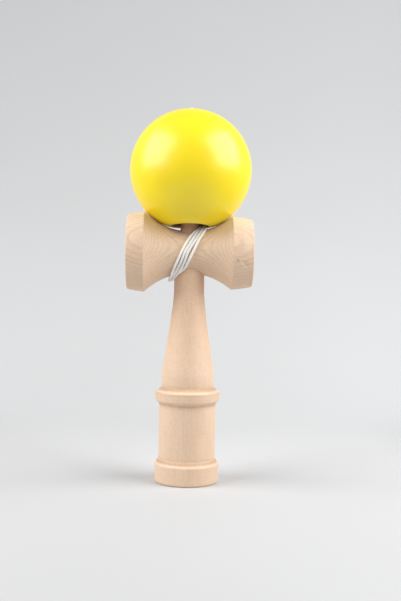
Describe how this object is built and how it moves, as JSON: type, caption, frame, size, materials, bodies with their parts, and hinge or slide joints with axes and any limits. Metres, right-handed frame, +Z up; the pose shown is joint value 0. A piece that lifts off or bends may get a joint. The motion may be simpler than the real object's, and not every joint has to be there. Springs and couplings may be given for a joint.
{
  "type": "cup and ball toy",
  "caption": "Turned wooden cup and ball toy: a spiked handle with a dished foot, a cross piece with a cup at each end, and a painted, bored ball on a string.",
  "frame": {"origin": "on the handle's axis, level with the standing edge of the foot", "axes": "+Z up the handle to the spike, +X along the cross piece towards the small cup, -Y is the front"},
  "size_m": [0.0616, 0.0615, 0.1855],
  "materials": {
    "handle_wood": "pale turned hardwood, satin, clear sealed",
    "cross_wood": "pale turned hardwood, satin, clear sealed",
    "ball_paint": "hardwood under glossy yellow paint",
    "bead_wood": "plain turned wood",
    "cotton": "off-white twisted cotton string"
  },
  "bodies": {
    "handle": {"handle": "handle_wood"},
    "cross_piece": {"cross_piece": "cross_wood", "string_winding": "cotton", "cross_knot": "cotton"},
    "bead": {"bead": "bead_wood", "bead_knot": "cotton", "string_run": "cotton"},
    "ball": {"ball": "ball_paint"}
  },
  "joints": [
    {"name": "cross_lift", "type": "slide", "parent": "handle", "child": "cross_piece", "axis": [0, 0, 1], "range_m": [0, 0.06]},
    {"name": "ball_lift", "type": "slide", "parent": "cross_piece", "child": "bead", "axis": [0, 0, 1], "range_m": [0, 0.04], "deforming": ["string_run"]},
    {"name": "ball_spin", "type": "hinge", "parent": "bead", "child": "ball", "pos_m": [0, 0, 0.1542], "axis": [0, 0, 1], "continuous": true}
  ]
}
